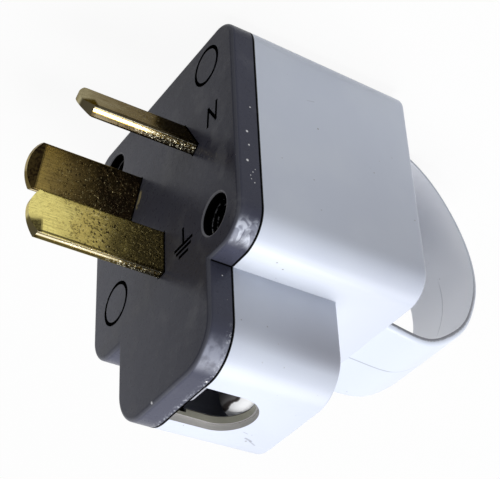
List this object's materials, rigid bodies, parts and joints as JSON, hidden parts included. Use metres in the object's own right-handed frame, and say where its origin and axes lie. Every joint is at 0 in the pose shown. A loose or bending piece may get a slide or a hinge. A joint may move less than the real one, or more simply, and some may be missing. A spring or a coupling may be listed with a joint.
{
  "type": "electrical plug",
  "caption": "Rewirable flat-blade plug with a dark face plate, white shell with a raised lobe, a cord notch and a pull loop at the rear.",
  "frame": {"origin": "centre of the pin circle on the contact face", "axes": "-Y along the blades, out of the contact face; +Z from the flat foot towards the raised lobe and the earth blade; +X across the plug"},
  "size_m": [0.0414, 0.076, 0.055],
  "materials": {
    "base_moulding": "satin dark slate grey moulding",
    "shell_moulding": "smooth cool white moulding",
    "blade_brass": "bare brass, worn and pitted",
    "terminal_brass": "bare brass",
    "screw_steel": "plated steel",
    "screw_black": "blackened steel",
    "retainer_board": "brown insulating board",
    "clamp_moulding": "dark grey moulding"
  },
  "bodies": {
    "root": {"assembly_nut_foot": "screw_steel", "assembly_nut_shoulder": "screw_steel", "assembly_screw_foot": "screw_black", "assembly_screw_shoulder": "screw_black", "clamp_screw_left": "screw_steel", "clamp_screw_right": "screw_steel", "cord_clamp": "clamp_moulding", "front_base": "base_moulding", "pin_earth": "blade_brass", "pin_line": "blade_brass", "pin_neutral": "blade_brass", "pin_retainer": "retainer_board", "rear_shell": "shell_moulding", "retainer_screw_lower": "screw_steel", "retainer_screw_upper": "screw_steel", "terminal_plate_earth": "terminal_brass", "terminal_plate_line": "terminal_brass", "terminal_plate_neutral": "terminal_brass", "terminal_screw_earth": "screw_steel", "terminal_screw_line": "screw_steel", "terminal_screw_neutral": "screw_steel"}
  },
  "joints": []
}
